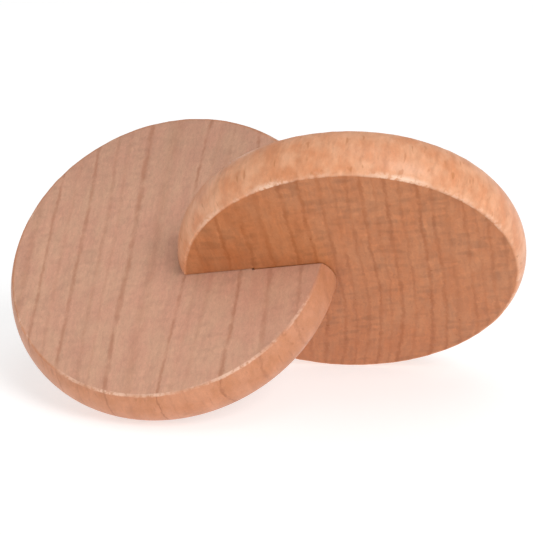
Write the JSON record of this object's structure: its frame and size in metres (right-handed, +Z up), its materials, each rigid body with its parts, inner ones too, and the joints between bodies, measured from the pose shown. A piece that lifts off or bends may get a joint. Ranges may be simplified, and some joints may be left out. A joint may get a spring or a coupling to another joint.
{
  "type": "interlocking discs",
  "caption": "Slotted wooden discs pushed crosswise into each other, a hand-held toy that rolls on its rims and that can be pulled apart and clapped together.",
  "frame": {"origin": "on the table, under the middle of the pair's bounding box", "axes": "+Z up; +X along the slot line as seen from above, from the left disc towards the right disc; +Y away from the side that shows both the left disc's upper face and the right disc's lower face"},
  "size_m": [0.0914, 0.0486, 0.0505],
  "materials": {
    "left_disc": "clear satin lacquer over sanded beech",
    "right_disc": "clear satin lacquer over sanded beech"
  },
  "bodies": {
    "left": {"left_disc": "left_disc"},
    "right": {"right_disc": "right_disc"}
  },
  "joints": [
    {"name": "pull_apart", "type": "slide", "parent": "left", "child": "right", "axis": [0.9885, 0, 0.1515], "range_m": [0, 0.031]}
  ]
}
